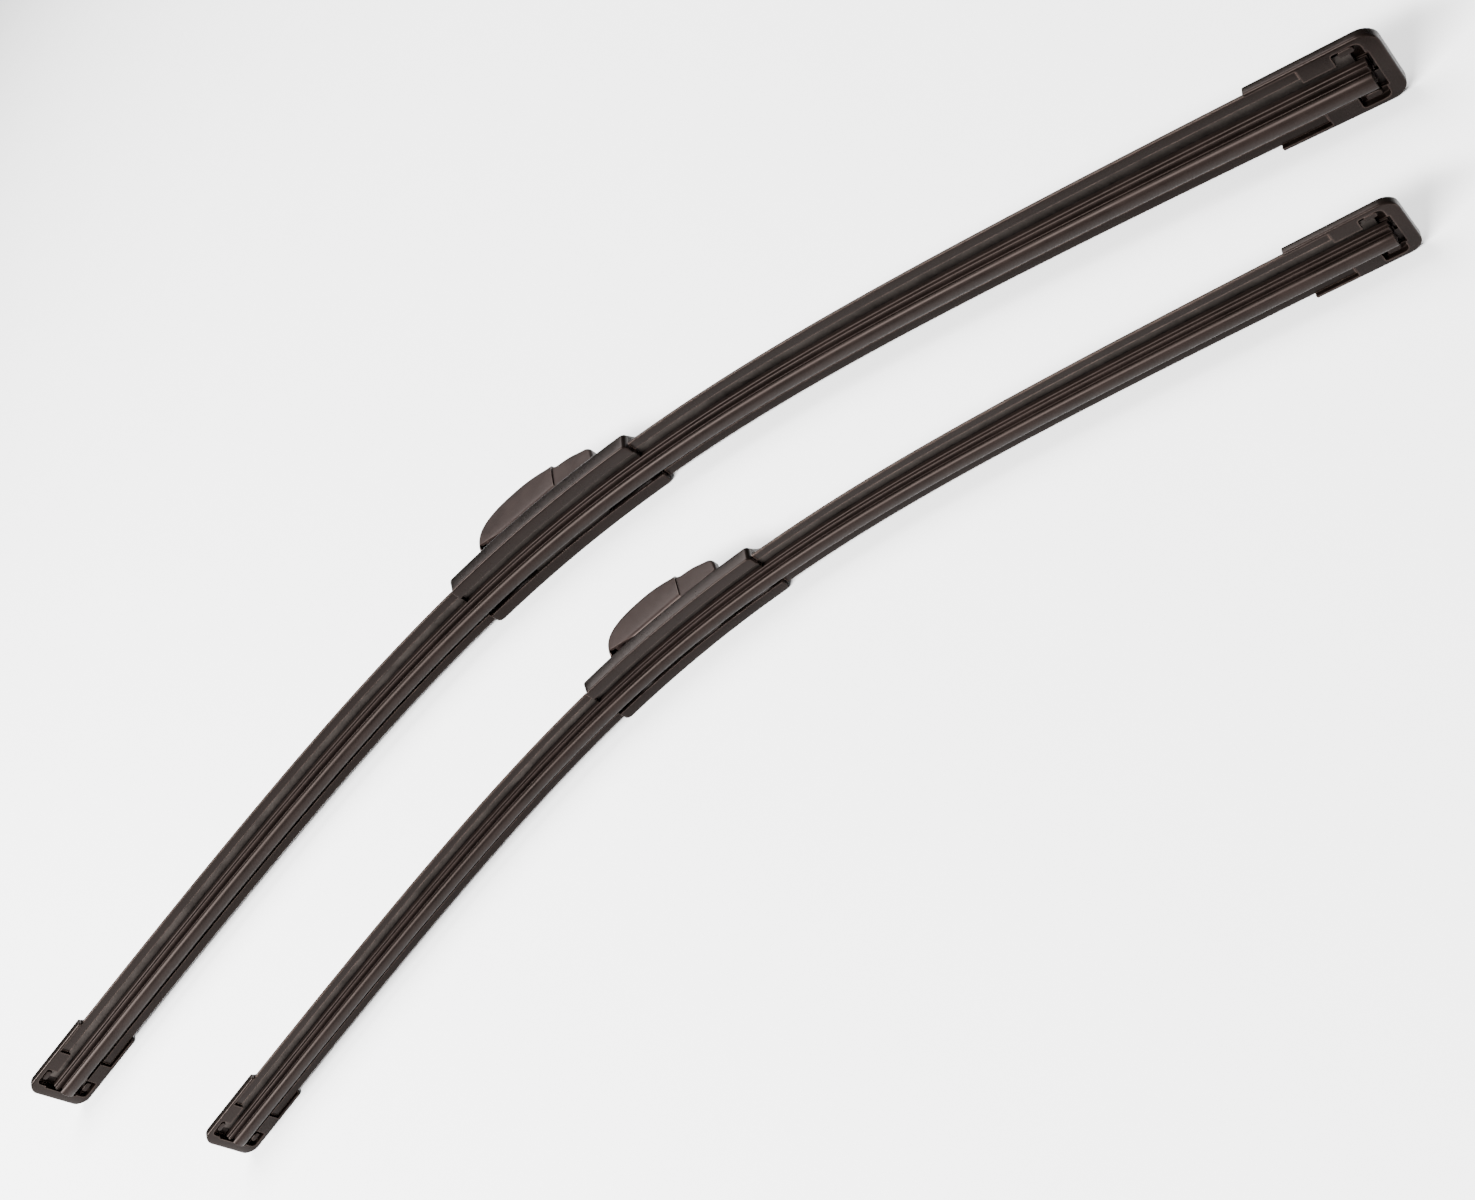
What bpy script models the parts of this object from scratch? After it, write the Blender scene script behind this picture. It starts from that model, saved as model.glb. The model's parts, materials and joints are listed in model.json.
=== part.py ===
"""A pair of flat (beam) windscreen wiper blades for one car, each lying on its side on a table.

Metres, +Z up. X runs along the longer blade from end to end, +Y is the side that faces the wiper arm
and -Y the rubber side, and Z is the width of the blades. The origin is on the table, under the middle
of the longer blade.

Each blade is drawn in its own frame, which an empty carries to its place: X along the beam, Y out of
the beam towards the arm, and Z across it, from the middle of the beam. The flexible pieces are swept
along the beam's curve, and the stiff ones are drawn straight. Dimensions of the pieces are in
millimetres, and MM turns them into metres.
"""

import math

import bmesh
import bpy
from mathutils import Matrix, Vector

MM = 0.001

# Driving dimensions of the pair: a 21 inch and a 16 inch blade. The shorter one is slimmer, and all
# its pieces are drawn at a smaller scale.
LONG_LENGTH = 531
SHORT_LENGTH = 410
SHORT_SCALE = 0.8
SHORT_PLACE = (36.9, -72.1)
SHORT_TURN = 0.0522
HALF_WIDTH = 10.6  # of the connector shroud and the end caps, on which a blade lies

# How an unloaded beam bends. The bends are in radians from the middle to an end, and the reach is a
# fraction of the length.
EVEN_BEND = 0.0573
MIDDLE_BEND = 0.2956
MIDDLE_REACH = 0.217
SHORT_BEND_SHARE = 0.903
CHORD = 18  # the sweeps turn once every chord

# Stations along the beam, in millimetres from its middle, or from the mouth of an end cap.
SHROUD_END = 38.35
SPOILER_START = 38.7
CRADLE_END = 16
WELL_END = 30.5
CAP_LENGTH = 30.5
CLAW = (12.4, 20)
CAP_POCKET_END = 27.2
CAP_CORNER = 3.6
CAP_TOP = ((12, 12.4), (CAP_LENGTH, 2.2))  # the top slopes from the first point down to the second
SPOILER_IN_CAP = 12.1
RAIL_IN_CAP = 23.4
RUBBER_IN_CAP = 25.7

# Sections of the swept pieces: (across the blade, out of the beam).
RAIL_EDGES = (1.2, 6.9)
RAIL_LAYER = (1.35, 2.15)
RUBBER_SIDE = [(2.4, 2.9), (2.4, 2.45), (0.8, 2.45), (0.8, 1.05), (3.3, 1.05), (3.3, -0.4), (2.2, -0.6),
               (2.9, -0.9), (2.9, -1.5), (0.55, -1.6)]
WIPING_LIP = [(0.55, -1.9), (1.4, -1.95), (1.5, -2.4), (0.9, -3.1), (-0.6, -3.5), (-2.4, -3.45),
              (-3.9, -3.1), (-4.2, -2.75), (-3.9, -2.4), (-1.6, -2.1), (-0.55, -1.9)]
SPOILER_INSIDE = [(6.2, 0.5), (6.2, 1.05), (7.2, 1.05), (7.2, 2.45), (2.7, 2.45), (2.7, 3.3)]
SHROUD_INSIDE = [(6.4, -0.9), (6.4, 0), (8.4, 0), (8.4, 4.4)]
CRADLE_SIDE = [(8, 4), (8, 0.35), (5.5, 0.35), (5.5, 1.05), (7.2, 1.05), (7.2, 3.2)]
RIDGE = (-1.9, -0.5)  # the spoiler's ridge stands a little to one side

# The ridged sections: half width, foot, shoulder and top.
SPOILER_RIDGE = (9.3, 0.5, 1.45, 10.5)
SHROUD_RIDGE = (HALF_WIDTH, -0.9, 4.6, 12)
CAP_RIDGE = (HALF_WIDTH, -0.4, 2.2, 11.9)
CAP_SPOILER_ROOM = (9.6, -2, 1.75, 10.9)

# Straight rooms in an end cap: half width, lowest and highest point.
CAP_ROOMS = {"rails": (7.3, 0.95, 2.5), "lip": (5.6, -2, 1.2), "head": (2.8, 2.3, 3.2)}
CAP_RECESS = (9.3, -2, 1.6)
FLANK_STEPS = 5
FLANK_HOLLOW = 1.5

# The adapter, its cover and their two pins: (along the beam, out of the beam).
PIVOT = (0, 10.4)
COVER_HINGE = (-22.5, 11.5)
PIVOT_RADIUS = 2
BARREL_RADIUS = 3.6
EAR_RADIUS = 4.5
EAR_FOOT = 3.6
CRADLE_WINDOW = (10.5, 4.9)  # half length and half width
HINGE_PIN_RADIUS = 1
KNUCKLE_RADIUS = 2.2
RUNNING_GAP = 0.3
COVER_END = 7
COVER_FOOT = 7.9
TAIL_START = 7.35
TAIL_FOOT = 7.6
ARM_SEAT = (8.5, 20, 13.6)  # start, end and height of the floor under the arm
SEAT_THICKNESS = 2
ADAPTER_CHEEKS = [(-14, 8), (-23.5, 9.8), (-23.5, 13.2), (-19, 14.6), (COVER_END, 14.6)]
ADAPTER_TAIL = [(COVER_END, 18.3), (9, 17.4), (13.5, 16.8), (16, 16.1), (18.6, 15.1), (21.8, 14),
                (23.2, 12.2), (23.4, TAIL_FOOT), (COVER_END, TAIL_FOOT)]
WELL = (1, 15)  # from its lowest point to above the shroud

# Layers across the connector, from the middle outwards. The longer blade takes an arm 9 mm wide.
ARM_SLOT = 4.65
CHEEK = 5.65
EAR = (6, 7)
COVER_INSIDE = 7.3
TAIL_OUTSIDE = 7.6
COVER_OUTSIDE = 8.2
WELL_SIDE = 8.6

# The cover's dome is a superellipse over its rounded end. Its crest then falls by these amounts.
DOME_CENTRE = (-6.3, 10)
DOME_REACH = (21, 11.3)
DOME_POWER = 2.8
DOME_STEPS = 8
CREST_FALL = [(-2, 0.25), (2.5, 1.1), (COVER_END, 2.4)]
COVER_SKIN = 1

PLASTIC = ((0.035, 0.030, 0.028, 1), 0.45, 0)
SOFT_PLASTIC = ((0.030, 0.026, 0.024, 1), 0.5, 0)
RUBBER = ((0.040, 0.034, 0.031, 1), 0.6, 0)
STEEL = ((0.55, 0.54, 0.52, 1), 0.3, 1)


# Scene, collections and materials.

def clear_scene():
    for obj in list(bpy.data.objects):
        bpy.data.objects.remove(obj, do_unlink=True)


def new_collection(name, is_helper=False):
    made = bpy.data.collections.new(name)
    bpy.context.scene.collection.children.link(made)
    made.hide_render = is_helper
    return made


def new_material(name, finish):
    colour, roughness, metallic = finish
    made = bpy.data.materials.new(name)
    made.use_nodes = True
    shader = made.node_tree.nodes["Principled BSDF"]
    shader.inputs["Base Color"].default_value = colour
    shader.inputs["Roughness"].default_value = roughness
    shader.inputs["Metallic"].default_value = metallic
    made.diffuse_color = colour
    return made


# The beam's curve, in a blade's frame.

def slope_at(blade, station):
    """How steeply the beam falls away from the arm, in radians."""
    part = station / blade["length"]
    return blade["bend"] * (2 * EVEN_BEND * part + MIDDLE_BEND * math.erf(part / MIDDLE_REACH))


def beam_point(blade, station):
    """Where the beam is at a station. Straight chords follow the curve, so that all sweeps agree."""
    x = y = travelled = 0
    while abs(station) - travelled > 1e-6:
        step = min(CHORD, abs(station) - travelled)
        slope = slope_at(blade, travelled + CHORD / 2)
        x += step * math.cos(slope)
        y -= step * math.sin(slope)
        travelled += CHORD
    return math.copysign(x, station), y


def beam_path(blade, start, end):
    first = math.floor(start / CHORD) + 1
    last = math.ceil(end / CHORD) - 1
    corners = [number * CHORD for number in range(first, last + 1)]
    return [beam_point(blade, station) for station in [start, *corners, end]]


# Sections.

def symmetric(side):
    """A whole section from the points of one side, which run from the top downwards."""
    return side + [(-across, out) for across, out in reversed(side)]


def ridge_section(half_width, foot, shoulder, top, inside=()):
    """A ridge with two hollow flanks. The points of inside, from a foot inwards, hollow it from below."""
    outline = []
    for side in (1, -1):
        crest = RIDGE[1] if side > 0 else RIDGE[0]
        flank = [(side * half_width, foot)]
        for step in range(FLANK_STEPS + 1):
            part = step / FLANK_STEPS
            across = side * half_width * (1 - part) + crest * part
            flank.append((across, shoulder + (top - shoulder) * part ** FLANK_HOLLOW))
        outline += flank if side > 0 else flank[::-1]
    hollow = [(-across, out) for across, out in inside]
    return outline + hollow + list(inside)[::-1]


def rail_section(side):
    near, far = RAIL_EDGES
    low, high = RAIL_LAYER
    return [(side * across, out) for across, out in ((near, low), (far, low), (far, high), (near, high))]


# Shapes. Each helper below makes one object in a blade's or an end cap's frame.

def add_object(name, mesh, frame, group):
    obj = bpy.data.objects.new(name, mesh)
    group.objects.link(obj)
    obj.parent = frame
    if group.hide_render:
        obj.hide_render = True
        obj.display_type = "WIRE"
    return obj


def poly_curve(name, points, closed):
    curve = bpy.data.curves.new(name, "CURVE")
    curve.dimensions = "3D"
    spline = curve.splines.new("POLY")
    spline.points.add(len(points) - 1)
    for point, place in zip(spline.points, points):
        point.co = (*place, 1)
    spline.use_cyclic_u = closed
    obj = bpy.data.objects.new(name, curve)
    bpy.context.scene.collection.objects.link(obj)
    return obj


def mesh_of(obj):
    """The evaluated mesh of a curve, closed and with its faces pointing out. The curve is removed."""
    bpy.context.view_layer.update()
    mesh = bpy.data.meshes.new_from_object(obj.evaluated_get(bpy.context.evaluated_depsgraph_get()))
    shape = bmesh.new()
    shape.from_mesh(mesh)
    bmesh.ops.remove_doubles(shape, verts=shape.verts, dist=0.005 * MM)
    bmesh.ops.recalc_face_normals(shape, faces=shape.faces)
    shape.to_mesh(mesh)
    shape.free()
    bpy.data.objects.remove(obj)
    mesh.materials.clear()
    return mesh


def sweep(name, path, section, frame, group):
    """A section carried along a path that lies in the frame's XY plane."""
    profile = poly_curve("profile", [(-out * MM, across * MM, 0) for across, out in section], True)
    guide = poly_curve(name, [(x * MM, y * MM, 0) for x, y in path], False)
    guide.data.twist_mode = "Z_UP"
    guide.data.bevel_mode = "OBJECT"
    guide.data.bevel_object = profile
    guide.data.use_fill_caps = True
    mesh = mesh_of(guide)
    bpy.data.objects.remove(profile)
    return add_object(name, mesh, frame, group)


def plate(name, outline, low, high, frame, group):
    """A flat outline in the frame's XY plane, between two heights across the blade."""
    flat = poly_curve(name, [(x * MM, y * MM, 0) for x, y in outline], True)
    flat.data.dimensions = "2D"
    flat.data.fill_mode = "BOTH"
    flat.data.extrude = (high - low) / 2 * MM
    mesh = mesh_of(flat)
    mesh.transform(Matrix.Translation((0, 0, (low + high) / 2 * MM)))
    return add_object(name, mesh, frame, group)


def box(name, low, high, frame, group, turn=None):
    """A box from its lowest to its highest corner, turned about its lowest corner if turn says so."""
    low = Vector(low) * MM
    size = Vector(high) * MM - low
    shape = bmesh.new()
    bmesh.ops.create_cube(shape, size=1, matrix=Matrix.Diagonal((*size, 1)))
    bmesh.ops.translate(shape, verts=shape.verts, vec=size / 2)
    mesh = bpy.data.meshes.new(name)
    shape.to_mesh(mesh)
    shape.free()
    mesh.transform(Matrix.Translation(low) @ (turn or Matrix.Identity(4)))
    return add_object(name, mesh, frame, group)


def rod(name, centre, radius, low, high, frame, group, sides=24):
    """A cylinder across the blade."""
    shape = bmesh.new()
    bmesh.ops.create_cone(shape, cap_ends=True, segments=sides, radius1=radius * MM, radius2=radius * MM,
                          depth=(high - low) * MM)
    mesh = bpy.data.meshes.new(name)
    shape.to_mesh(mesh)
    shape.free()
    mesh.transform(Matrix.Translation((centre[0] * MM, centre[1] * MM, (low + high) / 2 * MM)))
    return add_object(name, mesh, frame, group)


def combine(obj, operation, *others):
    for other in others:
        step = obj.modifiers.new(f"{operation.lower()} {other.name}", "BOOLEAN")
        step.operation = operation
        step.object = other
        step.solver = "EXACT"


def dress(obj, finish):
    obj.data.materials.append(new_material(obj.name, finish))
    obj.data.shade_smooth()
    obj.data.set_sharp_from_angle(angle=math.radians(30))


def hang_on_axis(obj, axis):
    """Moves the object's origin onto its joint axis, and leaves its shape where it is."""
    place = Vector((axis[0] * MM, axis[1] * MM, 0))
    obj.data.transform(Matrix.Translation(-place))
    obj.location = place


# The flexible pieces of a blade.

def add_rubber(blade):
    end = blade["length"] / 2 - CAP_LENGTH + RUBBER_IN_CAP
    section = RUBBER_SIDE + WIPING_LIP + [(-across, out) for across, out in reversed(RUBBER_SIDE)]
    path = beam_path(blade, -end, end)
    rubber = sweep(blade["name"] + "_wiping_rubber", path, section, blade["frame"], blade["parts"])
    dress(rubber, RUBBER)


def add_rails(blade):
    """Two strips of spring steel, side by side, give the beam its curve and press the rubber down."""
    end = blade["length"] / 2 - CAP_LENGTH + RAIL_IN_CAP
    for label, side in (("upper", 1), ("lower", -1)):
        name = f"{blade['name']}_spring_rail_{label}"
        path = beam_path(blade, -end, end)
        dress(sweep(name, path, rail_section(side), blade["frame"], blade["parts"]), STEEL)


def add_spoilers(blade):
    end = blade["length"] / 2 - CAP_LENGTH + SPOILER_IN_CAP
    section = ridge_section(*SPOILER_RIDGE, SPOILER_INSIDE)
    for label, start, stop in (("left", -end, -SPOILER_START), ("right", SPOILER_START, end)):
        name = f"{blade['name']}_spoiler_{label}"
        path = beam_path(blade, start, stop)
        dress(sweep(name, path, section, blade["frame"], blade["parts"]), SOFT_PLASTIC)


# The end caps, drawn from the mouth outwards.

def cap_frame(blade, side):
    """An empty at the mouth of an end cap, with X pointing out of the blade's end."""
    mouth = blade["length"] / 2 - CAP_LENGTH
    middle = Vector(beam_point(blade, side * (mouth + CAP_LENGTH / 2))).to_3d() * MM
    turn = Matrix.Rotation(-side * slope_at(blade, mouth + CAP_LENGTH / 2), 4, "Z")
    outward = Matrix.Diagonal((side, 1, 1, 1))
    back = Matrix.Translation((-CAP_LENGTH / 2 * MM, 0, 0))
    frame = bpy.data.objects.new(f"{blade['name']}_cap_frame", None)
    blade["helpers"].objects.link(frame)
    frame.parent = blade["frame"]
    frame.matrix_local = Matrix.Translation(middle) @ turn @ outward @ back
    return frame


def corner_tool(name, edge, frame, group):
    """Takes the corner off an end cap's end, on one of its two edges."""
    half = 8
    tool = box(name, (-half, -4, -half), (half, 18, half), frame, group)
    out = (CAP_LENGTH - CAP_CORNER + half * math.sqrt(2)) * MM
    turn = Matrix.Rotation(math.radians(45), 4, "Y")
    tool.data.transform(Matrix.Translation((out, 0, edge * HALF_WIDTH * MM)) @ turn)
    return tool


def add_cap(blade, label, side):
    """A cap clips over the spoiler, and its claws hook under the ends of the spring rails."""
    frame = cap_frame(blade, side)
    tools = blade["helpers"]
    name = f"{blade['name']}_end_cap_{label}"
    cap = sweep(name, [(0, 0), (CAP_LENGTH, 0)], ridge_section(*CAP_RIDGE), frame, blade["parts"])
    spoiler_room = ridge_section(*CAP_SPOILER_ROOM)
    cuts = [sweep(name + "_spoiler_room", [(-1, 0), (CLAW[0], 0)], spoiler_room, frame, tools)]
    for room, (half, low, high) in CAP_ROOMS.items():
        corners = (CLAW[0] - 1, low, -half), (CAP_POCKET_END, high, half)
        cuts.append(box(f"{name}_{room}", *corners, frame, tools))
    half, low, high = CAP_RECESS
    corners = (CLAW[1], low, -half), (CAP_POCKET_END - 0.4, high, half)
    cuts.append(box(name + "_recess", *corners, frame, tools))
    (start, high), (end, low) = CAP_TOP
    slope = Matrix.Rotation(math.atan2(low - high, end - start), 4, "Z")
    cuts.append(box(name + "_top", (start, high, -12), (start + 30, high + 12, 12), frame, tools, slope))
    cuts += [corner_tool(f"{name}_corner_{edge}", edge, frame, tools) for edge in (-1, 1)]
    combine(cap, "DIFFERENCE", *cuts)
    dress(cap, PLASTIC)


# The connector in the middle of a blade.

def add_cradle(blade):
    """A steel channel crimped round both rails, with two ears that hold the pivot pin."""
    frame, tools = blade["frame"], blade["helpers"]
    name = blade["name"] + "_steel_cradle"
    path = beam_path(blade, -CRADLE_END, CRADLE_END)
    cradle = sweep(name, path, symmetric(CRADLE_SIDE), frame, blade["parts"])
    arch = [math.pi * step / 10 for step in range(11)]
    outline = [(EAR_RADIUS * math.cos(turn), PIVOT[1] + EAR_RADIUS * math.sin(turn)) for turn in arch]
    outline += [(-EAR_RADIUS, EAR_FOOT), (EAR_RADIUS, EAR_FOOT)]
    near, far = EAR
    ears = [plate(f"{name}_ear_{number}", outline, low, high, frame, tools)
            for number, (low, high) in enumerate([(near, far), (-far, -near)])]
    combine(cradle, "UNION", *ears)
    bore = rod(name + "_bore", PIVOT, PIVOT_RADIUS + RUNNING_GAP, -9, 9, frame, tools)
    length, width = CRADLE_WINDOW
    window = box(name + "_window", (-length, 2, -width), (length, 5, width), frame, tools)
    combine(cradle, "DIFFERENCE", bore, window)
    dress(cradle, STEEL)


def add_shroud(blade):
    """The plastic shroud hides the cradle. Its well leaves room for the adapter to rock."""
    name = blade["name"] + "_connector_shroud"
    section = ridge_section(*SHROUD_RIDGE, SHROUD_INSIDE)
    path = beam_path(blade, -SHROUD_END, SHROUD_END)
    shroud = sweep(name, path, section, blade["frame"], blade["parts"])
    corners = (-WELL_END, WELL[0], -WELL_SIDE), (WELL_END, WELL[1], WELL_SIDE)
    combine(shroud, "DIFFERENCE", box(name + "_well", *corners, blade["frame"], blade["helpers"]))
    dress(shroud, PLASTIC)


def add_pins(blade):
    pins = {"pivot_pin": (PIVOT, PIVOT_RADIUS, EAR[1]),
            "cover_hinge_pin": (COVER_HINGE, HINGE_PIN_RADIUS, COVER_INSIDE - 0.4)}
    for label, (centre, radius, half) in pins.items():
        pin = rod(f"{blade['name']}_{label}", centre, radius, -half, half, blade["frame"], blade["parts"])
        dress(pin, STEEL)
        hang_on_axis(pin, centre)


def add_adapter(blade):
    """The adapter takes the arm's hook round its barrel, and rocks on the pivot pin."""
    frame, tools = blade["frame"], blade["helpers"]
    name = blade["name"] + "_hook_adapter"
    outline = ADAPTER_CHEEKS + ADAPTER_TAIL
    adapter = plate(name, outline, -TAIL_OUTSIDE, TAIL_OUTSIDE, frame, blade["parts"])
    slot = box(name + "_slot", (-30, 0, -ARM_SLOT), (30, 25, ARM_SLOT), frame, tools)
    sides = [box(f"{name}_side_{low}", (-30, 0, low), (TAIL_START, 25, low + 5), frame, tools)
             for low in (CHEEK, -CHEEK - 5)]
    combine(adapter, "DIFFERENCE", slot, *sides)
    inside = (ARM_SLOT + CHEEK) / 2
    barrel = rod(name + "_barrel", PIVOT, BARREL_RADIUS, -inside, inside, frame, tools)
    lug = rod(name + "_lug", COVER_HINGE, KNUCKLE_RADIUS, -inside, inside, frame, tools)
    start, end, height = ARM_SEAT
    low = (start, height - SEAT_THICKNESS, -inside)
    floor = box(name + "_floor", low, (end, height, inside), frame, tools)
    combine(adapter, "UNION", barrel, lug, floor)
    bore = rod(name + "_bore", PIVOT, PIVOT_RADIUS + RUNNING_GAP, -9, 9, frame, tools)
    hinge = rod(name + "_hinge", COVER_HINGE, HINGE_PIN_RADIUS + RUNNING_GAP, -9, 9, frame, tools)
    combine(adapter, "DIFFERENCE", bore, hinge)
    dress(adapter, PLASTIC)
    hang_on_axis(adapter, PIVOT)


def dome(inset):
    """The dome of the cover, from its foot over the rounded end to the middle of the flat top."""
    outline = []
    for step in range(DOME_STEPS + 1):
        turn = math.pi / 2 * (1 - step / DOME_STEPS)
        along = (DOME_REACH[0] - inset) * max(math.sin(turn), 0) ** (2 / DOME_POWER)
        out = (DOME_REACH[1] - inset) * max(math.cos(turn), 0) ** (2 / DOME_POWER)
        outline.append((DOME_CENTRE[0] - along, DOME_CENTRE[1] + out))
    return outline


def add_cover(blade):
    """The cover closes over the arm's hook. It opens on a pin at the adapter's rounded end."""
    frame, tools = blade["frame"], blade["helpers"]
    name = blade["name"] + "_adapter_cover"
    top = DOME_CENTRE[1] + DOME_REACH[1]
    end_wall = dome(0)[0][0] + 0.3
    notch = [(-13, COVER_FOOT), (end_wall + 1, 10), (end_wall + 1, COVER_FOOT), (end_wall, COVER_FOOT)]
    crest = [(x, top - fall) for x, fall in CREST_FALL]
    outline = dome(0) + crest + [(COVER_END, COVER_FOOT)] + notch
    cover = plate(name, outline, -COVER_OUTSIDE, COVER_OUTSIDE, frame, blade["parts"])
    below = [(x, y - COVER_SKIN) for x, y in crest]
    hollow = dome(COVER_SKIN) + below + [(12, below[-1][1]), (12, 4), (end_wall + 1.1, 4)]
    room = plate(name + "_room", hollow, -COVER_INSIDE, COVER_INSIDE, frame, tools)
    combine(cover, "DIFFERENCE", room)
    start, reach = CHEEK + RUNNING_GAP, COVER_INSIDE + 0.4
    bosses = [rod(f"{name}_boss_{number}", COVER_HINGE, KNUCKLE_RADIUS, low, high, frame, tools)
              for number, (low, high) in enumerate([(start, reach), (-reach, -start)])]
    combine(cover, "UNION", *bosses)
    reach = COVER_INSIDE - 0.1
    bore = rod(name + "_bore", COVER_HINGE, HINGE_PIN_RADIUS + RUNNING_GAP, -reach, reach, frame, tools)
    combine(cover, "DIFFERENCE", bore)
    dress(cover, PLASTIC)
    hang_on_axis(cover, COVER_HINGE)


def add_blade(name, length, scale, bend, place, turn, parts, helpers):
    """A blade of a real length, with its pieces drawn at a scale."""
    frame = bpy.data.objects.new(name + "_frame", None)
    helpers.objects.link(frame)
    frame.matrix_world = Matrix.Translation((place[0] * MM, place[1] * MM, HALF_WIDTH * scale * MM)) @ \
        Matrix.Rotation(turn, 4, "Z") @ Matrix.Scale(scale, 4)
    blade = {"name": name, "length": length / scale, "bend": bend, "frame": frame, "parts": parts,
             "helpers": helpers}
    add_rubber(blade)
    add_rails(blade)
    add_spoilers(blade)
    add_cap(blade, "left", -1)
    add_cap(blade, "right", 1)
    add_cradle(blade)
    add_shroud(blade)
    add_pins(blade)
    add_adapter(blade)
    add_cover(blade)


def main():
    clear_scene()
    parts = new_collection("wiper_blade_pair")
    helpers = new_collection("cutters", is_helper=True)
    add_blade("long", LONG_LENGTH, 1, 1, (0, 0), 0, parts, helpers)
    add_blade("short", SHORT_LENGTH, SHORT_SCALE, SHORT_BEND_SHARE, SHORT_PLACE, SHORT_TURN, parts, helpers)


main()
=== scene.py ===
# %% [markdown]
# # A pair of flat wiper blades
#
# This lesson dresses a working model of two windscreen wiper blades. A flat blade has no metal
# bows. Two strips of spring steel run inside it from end to end and press the rubber onto the
# glass, and a soft plastic spoiler lies over them. The model already holds every solid, its size
# and its joints. Here each visible piece is made again with fine curves and rounded edges, in the
# same place.
#
# The first cell opens that model. The model's box is measured at once, to compare with at the
# end.

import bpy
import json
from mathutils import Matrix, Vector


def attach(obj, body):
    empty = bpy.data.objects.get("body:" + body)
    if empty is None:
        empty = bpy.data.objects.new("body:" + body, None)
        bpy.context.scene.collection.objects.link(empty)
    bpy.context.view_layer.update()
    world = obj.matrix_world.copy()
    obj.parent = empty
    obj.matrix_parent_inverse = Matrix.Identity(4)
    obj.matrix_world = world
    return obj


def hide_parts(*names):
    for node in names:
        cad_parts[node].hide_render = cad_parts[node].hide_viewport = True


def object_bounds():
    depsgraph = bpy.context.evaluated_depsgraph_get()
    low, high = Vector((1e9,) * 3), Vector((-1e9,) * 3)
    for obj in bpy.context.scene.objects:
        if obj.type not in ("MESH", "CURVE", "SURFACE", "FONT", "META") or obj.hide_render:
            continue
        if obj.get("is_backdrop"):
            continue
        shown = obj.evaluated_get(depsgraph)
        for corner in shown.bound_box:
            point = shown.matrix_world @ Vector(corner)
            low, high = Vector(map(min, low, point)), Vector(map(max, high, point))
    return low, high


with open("model.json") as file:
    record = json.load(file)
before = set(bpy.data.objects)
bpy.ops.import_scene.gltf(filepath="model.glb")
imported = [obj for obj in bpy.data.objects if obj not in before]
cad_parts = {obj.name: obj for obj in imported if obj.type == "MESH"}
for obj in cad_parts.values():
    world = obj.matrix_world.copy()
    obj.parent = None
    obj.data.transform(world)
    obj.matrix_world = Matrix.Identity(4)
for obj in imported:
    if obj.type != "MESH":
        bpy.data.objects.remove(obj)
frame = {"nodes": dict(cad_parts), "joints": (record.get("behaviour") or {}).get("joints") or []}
cad_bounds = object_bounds()
print("nodes:", len(frame["nodes"]))

# %% [markdown]
# ## What the lesson needs
#
# The pieces are built with two of Blender's own modules: bmesh for faces, and mathutils for
# points and matrices. Clicking in the editor would do for one piece, but a script makes both
# blades alike.

# %% Bring in the modules
import json
import math

import bmesh
import bpy
from mathutils import Matrix, Vector

print("Blender", bpy.app.version_string)

# %% [markdown]
# ## Where each blade is
#
# The blades are drawn in millimetres, each in a frame of its own: X along the beam, Y out of the
# beam towards the arm, and Z across it. Both frames could be typed in as numbers, but the joints
# already say where they are. The pivot pin and the cover's hinge are two known points of every
# blade, so the line between them gives the blade's place, its turn and its scale.

# %% Find the two blades from their joints
PIVOT = Vector((0, 10.4))
COVER_HINGE = Vector((-22.5, 11.5))
joints = {joint["name"]: joint for joint in frame["joints"]}


def blade_matrix(name):
    """Takes a point of a blade's drawing, in millimetres, to its place in the scene, in metres."""
    pivot = Vector(joints[name + "_adapter_pivot"]["pos_m"])
    hinge = Vector(joints[name + "_cover_hinge"]["pos_m"])
    drawn = PIVOT - COVER_HINGE
    found = pivot - hinge
    scale = found.length / drawn.length
    turn = math.atan2(found.y, found.x) - math.atan2(drawn.y, drawn.x)
    spin = Matrix.Rotation(turn, 4, "Z") @ Matrix.Scale(scale, 4)
    return Matrix.Translation(pivot - spin @ PIVOT.to_3d()) @ spin


# The short blade is drawn at the long one's scale, so its length is divided by its own scale.
SHORT_SCALE = 0.8
blades = {
    "long": {"matrix": blade_matrix("long"), "length": 531, "bend": 1},
    "short": {"matrix": blade_matrix("short"), "length": 410 / SHORT_SCALE, "bend": 0.903},
}
for name, blade in blades.items():
    blade["name"] = name
    print(name, "blade at", [round(value, 4) for value in blade["matrix"].translation])

# %% [markdown]
# ## The curve of the beam
#
# An unloaded beam is bent like a bow, most of all in the middle, so that it presses evenly once
# the arm flattens it. A Bezier curve could be pulled into this shape by hand. A formula for the
# slope is better here, because every piece of a blade then follows exactly the same curve. The
# slope is summed up in steps of one millimetre, and any station in between is read off that
# table.

# %% Bend the beam
EVEN_BEND = 0.0573  # radians of slope that each half gains evenly
MIDDLE_BEND = 0.2956  # radians that it gains close to the middle
MIDDLE_REACH = 0.217  # how far "close to the middle" goes, as a part of the length


def slope_at(blade, station):
    part = station / blade["length"]
    return blade["bend"] * (2 * EVEN_BEND * part + MIDDLE_BEND * math.erf(part / MIDDLE_REACH))


def beam_table(blade):
    """The beam's points at every whole millimetre from its middle to an end."""
    points = [Vector((0, 0))]
    for number in range(int(blade["length"] / 2) + 2):
        slope = slope_at(blade, number + 0.5)
        points.append(points[-1] + Vector((math.cos(slope), -math.sin(slope))))
    return points


def beam_point(blade, station):
    whole = int(abs(station))
    spare = abs(station) - whole
    point = blade["points"][whole].lerp(blade["points"][whole + 1], spare)
    return Vector((math.copysign(point.x, station), point.y))


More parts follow.
